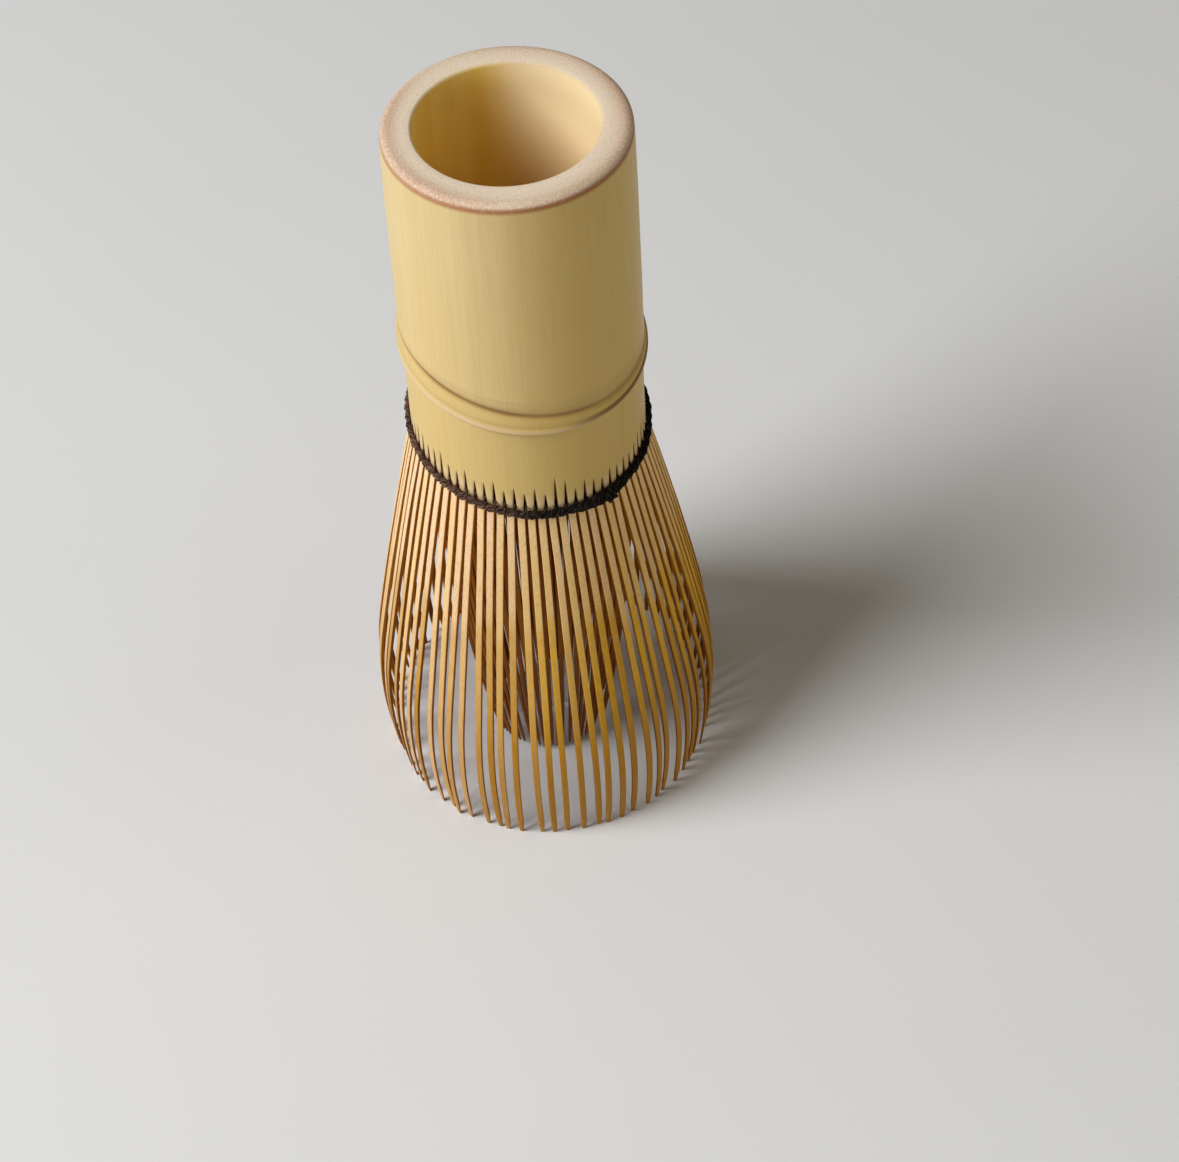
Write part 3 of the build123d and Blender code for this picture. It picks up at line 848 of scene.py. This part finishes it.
def thread_pieces(material):
    outer = twisted_rope("thread_wrap", ring_path(WRAP_R, 0.0, 0.05), True, 3, 0.35,
                         WRAP_TURNS / (TURN * WRAP_R), 0.64, material, 1800, 9, lumpy)
    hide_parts("thread_outer_row")
    inner = twisted_rope("thread_spacer", ring_path(SPACER_R, 0.0, 0.0), True, 2, 0.15, 0.5, 0.7, material, 720)
    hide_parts("thread_inner_row")

    chance = random.Random(TINE_SEED + 1)
    stitches = []
    for index in range(TINES):
        lean = chance.uniform(-0.02, 0.02)
        stitches.append(twisted_rope("stitch", stitch_path(index * PITCH, lean), False, 2, 0.10, 0.6, 1.0,
                                     material, 9, 6))
    loops = joined("thread_stitches", stitches)
    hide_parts("thread_loops")

    knot = twisted_rope("thread_end_knot", knot_path(), False, 2, 0.23, 0.55, 1.0, material, 150)
    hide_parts("thread_knot")
    for piece in (outer, inner, loops, knot):
        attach(piece, BODY)


def knot_path():
    """A small overhand knot on the outer row, with both ends cut short."""
    base_z = thread_height(KNOT_AZIMUTH)
    outward = (math.cos(KNOT_AZIMUTH), math.sin(KNOT_AZIMUTH), 0.0)
    sideways = (-outward[1], outward[0], 0.0)

    def at(f):
        t = lerp(-0.35, TURN + 0.35, f)
        tail = max(0.0, 0.08 - f) + max(0.0, f - 0.92)
        side = 0.42 * (math.sin(t) + 2 * math.sin(2 * t)) * 0.55 + 9.0 * tail * (1 if f > 0.5 else -1)
        up = 0.40 * (math.cos(t) - 2 * math.cos(2 * t)) * 0.5 - 3.0 * tail
        out = CROWN_R + 0.95 + 0.22 * math.sin(3 * t) - 2.0 * tail
        point = tuple(outward[i] * out + sideways[i] * side + (0, 0, base_z + up)[i] for i in range(3))
        return point, outward, (0.0, 0.0, 1.0), 9 * f
    return at


def joined(name, pieces):
    """One object from several."""
    work = bmesh.new()
    for piece in pieces:
        work.from_mesh(piece.data)
    mesh = pieces[0].data.copy()
    work.to_mesh(mesh)
    work.free()
    for piece in pieces:
        old = piece.data
        bpy.data.objects.remove(piece)
        bpy.data.meshes.remove(old)
    mesh.name = name
    piece = bpy.data.objects.new(name, mesh)
    bpy.context.scene.collection.objects.link(piece)
    return piece


# ---------------------------------------------------------------- stage, lights and camera

def floor():
    half = 1500
    verts = [(-half, -half, 0), (half, -half, 0), (half, half, 0), (-half, half, 0)]
    n = Nodes("pale_floor")
    cloud = n.noise(n.place((0.02, 0.02, 0.02)), detail=2.0)
    colour = n.mix(cloud, rgb(0.86, 0.88, 0.91), rgb(0.83, 0.85, 0.88))
    material = n.finish(colour, 0.6)
    piece = make_piece("floor", verts, [(0, 1, 2, 3)], [material])


def area_light(name, position, target, size, power, colour):
    data = bpy.data.lights.new(name, "AREA")
    data.shape = "DISK"
    data.size = size
    data.energy = power
    data.color = colour
    light = bpy.data.objects.new(name, data)
    light.location = position
    light.rotation_euler = (Vector(target) - Vector(position)).to_track_quat("-Z", "Y").to_euler()
    bpy.context.scene.collection.objects.link(light)


def lighting():
    middle = (0, 0, 0.06)
    area_light("window", (-0.86, -0.28, 0.84), middle, size=0.75, power=15.2, colour=(1.0, 0.985, 0.96))
    area_light("room_bounce", (0.62, -0.10, 0.40), middle, size=0.7, power=0.62, colour=(1.0, 0.84, 0.46))
    world = bpy.data.worlds.new("soft_sky")
    world.use_nodes = True
    tree = world.node_tree
    background = tree.nodes["Background"]
    background.inputs["Color"].default_value = rgb(1.0, 0.96, 0.90)
    direction = tree.nodes.new("ShaderNodeTexCoord").outputs["Generated"]
    split = tree.nodes.new("ShaderNodeSeparateXYZ")
    tree.links.new(direction, split.inputs[0])
    rising = tree.nodes.new("ShaderNodeMapRange")
    rising.interpolation_type = "SMOOTHSTEP"
    for key, value in {"From Min": 0.0, "From Max": 0.34, "To Min": 0.56, "To Max": 0.085}.items():
        rising.inputs[key].default_value = value
    tree.links.new(split.outputs["Z"], rising.inputs["Value"])
    tree.links.new(rising.outputs["Result"], background.inputs["Strength"])
    bpy.context.scene.world = world
    bpy.context.scene.view_settings.view_transform = "Standard"


def camera():
    """A long-lens view from the front, looking down at the whisk, rolled a little to the left."""
    frame_width = 1179
    lens_pixels = 2600
    sensor = 36.0
    data = bpy.data.cameras.new("camera")
    data.sensor_width = sensor
    data.lens = sensor * lens_pixels / frame_width
    data.clip_start = 0.01
    view = bpy.data.objects.new("camera", data)
    pitch, yaw, roll = math.radians(49.10), math.radians(-1.61), math.radians(-3.18)
    forward = Vector((0, math.cos(pitch), -math.sin(pitch)))
    upward = Vector((0, math.sin(pitch), math.cos(pitch)))
    right = Vector((1, 0, 0))
    spin = Matrix.Rotation(yaw, 3, "Z")
    forward, upward, right = spin @ forward, spin @ upward, spin @ right
    tilted_right = right * math.cos(roll) + upward * math.sin(roll)
    tilted_up = upward * math.cos(roll) - right * math.sin(roll)
    in_front, above_rim = 0.2396, 0.1940
    place = Vector((0, -in_front, HEIGHT * MM + above_rim))
    turned = Matrix((tilted_right, tilted_up, -forward)).transposed().to_4x4()
    view.matrix_world = Matrix.Translation(place) @ turned
    bpy.context.scene.collection.objects.link(view)
    bpy.context.scene.camera = view


def main():
    culm_finish = culm_material()
    outer_skin = tine_material("outer_tine_skin", ((0.88, 0.64, 0.42), (0.88, 0.60, 0.24)),
                               ((0.54, 0.27, 0.014), (0.76, 0.42, 0.020), (0.40, 0.16, 0.010),
                                (0.40, 0.175, 0.010)),
                               0.45)
    outer_flesh = tine_material("outer_tine_flesh", ((0.50, 0.18, 0.012), (0.58, 0.23, 0.008)),
                                ((0.30, 0.09, 0.004), (0.54, 0.22, 0.006), (0.20, 0.05, 0.003),
                                 (0.22, 0.065, 0.004)),
                                0.60)
    inner_flesh = tine_material("inner_tine_flesh", ((0.50, 0.155, 0.009), (0.46, 0.155, 0.007)),
                                ((0.30, 0.09, 0.005), (0.42, 0.155, 0.006), (0.16, 0.038, 0.003),
                                 (0.20, 0.055, 0.004)),
                                0.60)
    thread = thread_material()

    culm = culm_piece(culm_finish)
    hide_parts("culm_handle")
    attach(culm, BODY)

    for sector in range(SECTORS):
        number = "%02d" % (sector + 1)
        piece = tine_piece("split_outer_tines_" + number, OUTER, sector * TINES_PER_SECTOR, TINES_PER_SECTOR,
                           lambda index: (index + 0.5) * PITCH, [outer_skin, outer_flesh], 2)
        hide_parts("outer_tines_" + number)
        bend(piece)
    for group in range(INNER_GROUPS):
        number = "%02d" % (group + 1)
        piece = tine_piece("split_inner_tines_" + number, INNER, group * INNER_PER_GROUP, INNER_PER_GROUP,
                           lambda index: (index + 1) * PITCH, [inner_flesh, inner_flesh], 11)
        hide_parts("inner_tines_" + number)
        bend(piece)
    thread_pieces(thread)
    floor()
    lighting()
    camera()


main()
